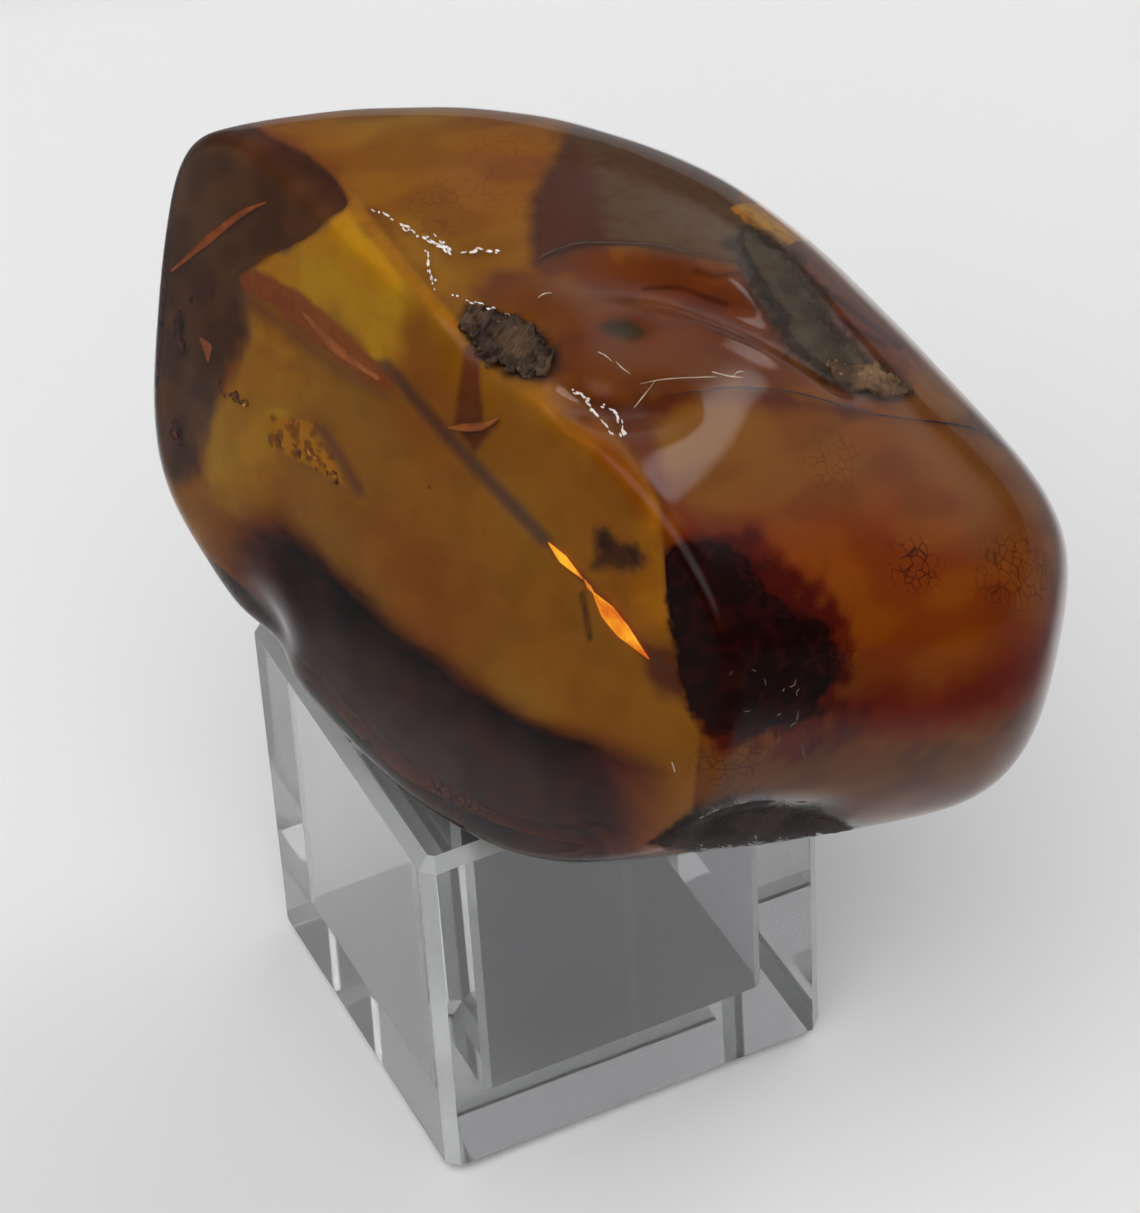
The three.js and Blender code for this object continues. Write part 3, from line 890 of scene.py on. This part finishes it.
def sparkleChipStrokes(path, count, seed):
    # short pale strokes, painted highlights, scattered along one stroke
    rng = np.random.default_rng(seed)
    line = curveThrough(path, 100)
    run = np.gradient(line, axis=0)
    run /= np.linalg.norm(run, axis=1, keepdims=True)
    made = []
    for k in rng.integers(0, len(line), count):
        middle = line[k] + rng.normal(0, sparkleChips["stray"], 2)
        half = run[k] * rng.uniform(*sparkleChips["halfLength"])
        width = rng.uniform(*sparkleChips["width"])
        widths = (width * sparkleChips["taper"], width, width * sparkleChips["taper"])
        made.append(bandShape([middle - half, middle, middle + half], widths, depth=sparkleChips["depth"],
                              thick=sparkleChips["thick"], rings=6, sides=6))
    return made


sparkleChipShapes = []
for k, (path, count) in enumerate(sparkleChips["strokes"]):
    sparkleChipShapes += sparkleChipStrokes(path, count, sparkleChips["firstSeed"] + sparkleChips["seedStep"] * k)
# painted highlight: near-white colours for the sparkle of the chips
sparkleChipLook = crustFinish("paintedSparkleChips", (0.8, 0.7, 0.6), (0.95, 0.92, 0.88), 0.15)
sparkleChipLook.on(addPiece("sparkleChips", *joined(sparkleChipShapes), "amber"))
print("chips placed")


# Lint: pale fibres and dust lying on the skin, as strokes in photo pixels
lint = dict(
    strokes=[[(640, 384), (668, 379), (716, 377)], [(634, 408), (642, 398), (656, 380)],
             [(598, 352), (606, 356), (612, 362)], [(616, 362), (622, 368), (630, 374)],
             [(538, 298), (544, 294), (552, 293)], [(672, 762), (674, 768), (675, 772)],
             [(712, 372), (728, 376), (744, 378)], [(734, 376), (738, 372), (744, 372)]],
    width=1.6, taper=0.4,  # photo pixels; ends against the middle
    depth=-0.02, thick=0.05,  # millimetres
    dustSeed=91, dustCount=13, dustMiddle=(775, 690), dustSpread=(34, 34), dustLength=(3, 10),  # photo pixels
    dustThinness=0.3,  # against a fibre
)


def lintShapes():
    # each stroke a thin lens on the skin; the dust is short strokes at seeded places and angles
    rng = np.random.default_rng(lint["dustSeed"])
    middles = rng.normal(lint["dustMiddle"], lint["dustSpread"], (lint["dustCount"], 2))
    angles = rng.uniform(0, math.pi, lint["dustCount"])
    halves = rng.uniform(*lint["dustLength"], lint["dustCount"]) / 2
    ways = np.stack([np.cos(angles), np.sin(angles)], 1) * halves[:, None]
    bends = np.stack([-ways[:, 1], ways[:, 0]], 1) * rng.uniform(-0.5, 0.5, (lint["dustCount"], 1))
    strokes = lint["strokes"] + [[m - w, m + b, m + w] for m, w, b in zip(middles, ways, bends)]
    widths = [lint["width"]] * len(lint["strokes"]) + [lint["width"] * lint["dustThinness"]] * lint["dustCount"]
    shapes = []
    for stroke, width in zip(strokes, widths):
        spread = (width * lint["taper"], width, width * lint["taper"])
        thick = lint["thick"] * width / lint["width"]
        shapes.append(bandShape(stroke, spread, depth=lint["depth"], thick=thick, rings=12, sides=6))
    return shapes


lintLook = crustFinish("paleLint", (0.36, 0.26, 0.17), (0.66, 0.54, 0.40), 0.5)
lintLook.on(addPiece("lint", *joined(lintShapes()), "amber"))
print("lint laid")


# Stand: the clear acrylic cube, with its chamfers left frosted by the saw
stand = dict(
    ior=1.49, clear=0.94, body=(0.855, 0.86, 0.87), roughness=0.015,
    smearScale=160, smear=0.03,  # finger smears add to the roughness
    frost=(0.85, 0.88, 0.86), frostPale=(0.9, 0.92, 0.9), scratchScale=900, frostClear=0.6, frostRoughness=0.45,
    straight=0.9,  # a face whose normal lies closer than this to an axis isn't a chamfer
)


def standFinish():
    # clear faces, and frosted ones where a face looks along no single axis
    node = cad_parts["stand"]
    look = Shader("clearAcrylic")
    smear = look.noise(stand["smearScale"], 0).smooth(0.45, 0.8)
    look.surface({"Base Color": colour(stand["body"]), "Roughness": stand["roughness"] + smear * stand["smear"],
                  "IOR": stand["ior"], "Transmission Weight": stand["clear"]})
    look.on(node)
    edge = Shader("frostedEdge")
    scratch = edge.noise(stand["scratchScale"], 2)
    edge.surface({"Base Color": edge.mix(scratch, stand["frost"], stand["frostPale"]), "IOR": stand["ior"],
                  "Roughness": stand["frostRoughness"], "Transmission Weight": stand["frostClear"]})
    node.data.materials.append(edge.owner)
    normals = np.zeros(len(node.data.polygons) * 3)
    node.data.polygons.foreach_get("normal", normals)
    slanted = np.abs(normals.reshape(-1, 3)).max(1) < stand["straight"]
    node.data.polygons.foreach_set("material_index", slanted.astype(np.int32))


standFinish()
print("stand finished")


# Studio: a pale sheet on a darker table, dim soft light from all round, a broad lamp over the viewer, a lit wall to
# the right and a small soft box above it
studio = dict(
    floorSide=3.0, floorDrop=0.0002,  # metres
    floorPale=(0.82, 0.82, 0.82), floorFar=(0.24, 0.24, 0.24), floorRoughness=0.7, floorShine=0.2,
    sheet=(0.145, 0.26), sheetMiddle=(0.016, 0.036), sheetSoft=0.045,  # metres
    sheetTurn=-23.8,  # degrees
    bounces=6, diffuseBounces=2,
    horizon=(0.12, 0.12, 0.12), zenith=(0.40, 0.40, 0.41),
    # each lamp: degrees round from +X, degrees up, half angles of its full and faded parts, radiance
    lamps=dict(overViewer=(-132, 55, 22, 40, 2.6), sideWall=(18, 38, 22, 36, 1.0), softBox=(12, 51, 4, 9, 6.0)),
)


def addFloor():
    half, low = studio["floorSide"] / 2, -studio["floorDrop"]
    mesh = bpy.data.meshes.new("floor")
    mesh.from_pydata([(-half, -half, low), (half, -half, low), (half, half, low), (-half, half, low)], [],
                     [(0, 1, 2, 3)])
    floor = bpy.data.objects.new("floor", mesh)
    scene.collection.objects.link(floor)
    look = Shader("paleFloor")
    # metres from the sheet's middle along its own two sides, then how far past its edge
    turned = look.node("Mapping", {"vector_type": "TEXTURE"}, {
        "Vector": look.place(), "Location": (*studio["sheetMiddle"], 0),
        "Rotation": (0, 0, math.radians(studio["sheetTurn"]))})
    split = look.node("SeparateXYZ", None, {0: look.out(turned)})
    tint = studio["floorPale"]
    for axis, side in enumerate(studio["sheet"]):
        past = abs(look.out(split, axis)) - side / 2
        tint = look.mix(past.smooth(0, studio["sheetSoft"]), tint, studio["floorFar"])
    look.surface({"Base Color": tint, "Roughness": studio["floorRoughness"],
                  "Specular IOR Level": studio["floorShine"]})
    look.on(floor)


def addLight():
    # radiance by direction: grey that brightens upwards, and a soft-edged disc for each lamp
    room = Shader("softRoom", "World")
    way = room.out(room.node("TexCoord"), "Generated")
    split = room.node("SeparateXYZ", None, {0: way})
    glow = room.mix(room.out(split, 2).smooth(-0.1, 1.0), studio["horizon"], studio["zenith"])
    for azimuth, elevation, full, faded, radiance in studio["lamps"].values():
        towards = room.node("VectorMath", {"operation": "DOT_PRODUCT"}, {0: way, 1: lookingTo(azimuth, elevation)})
        edge, core = math.cos(math.radians(faded)), math.cos(math.radians(full))
        disc = room.out(towards, "Value").smooth(edge, core)
        glow = room.mix(disc, glow, (radiance,) * 3)
    light = room.node("Background", None, {"Color": glow})
    room.tree.links.new(light.outputs[0], room.end.inputs["Surface"])
    room.owner.cycles.sampling_method = "NONE"  # the same goes for rays aimed at a lamp from inside the skin
    scene.world = room.owner


addFloor()
addLight()
scene.view_settings.view_transform = "Standard"
scene.cycles.max_bounces = studio["bounces"]
scene.cycles.diffuse_bounces = studio["diffuseBounces"]
scene.cycles.caustics_reflective = False
print("studio lit")
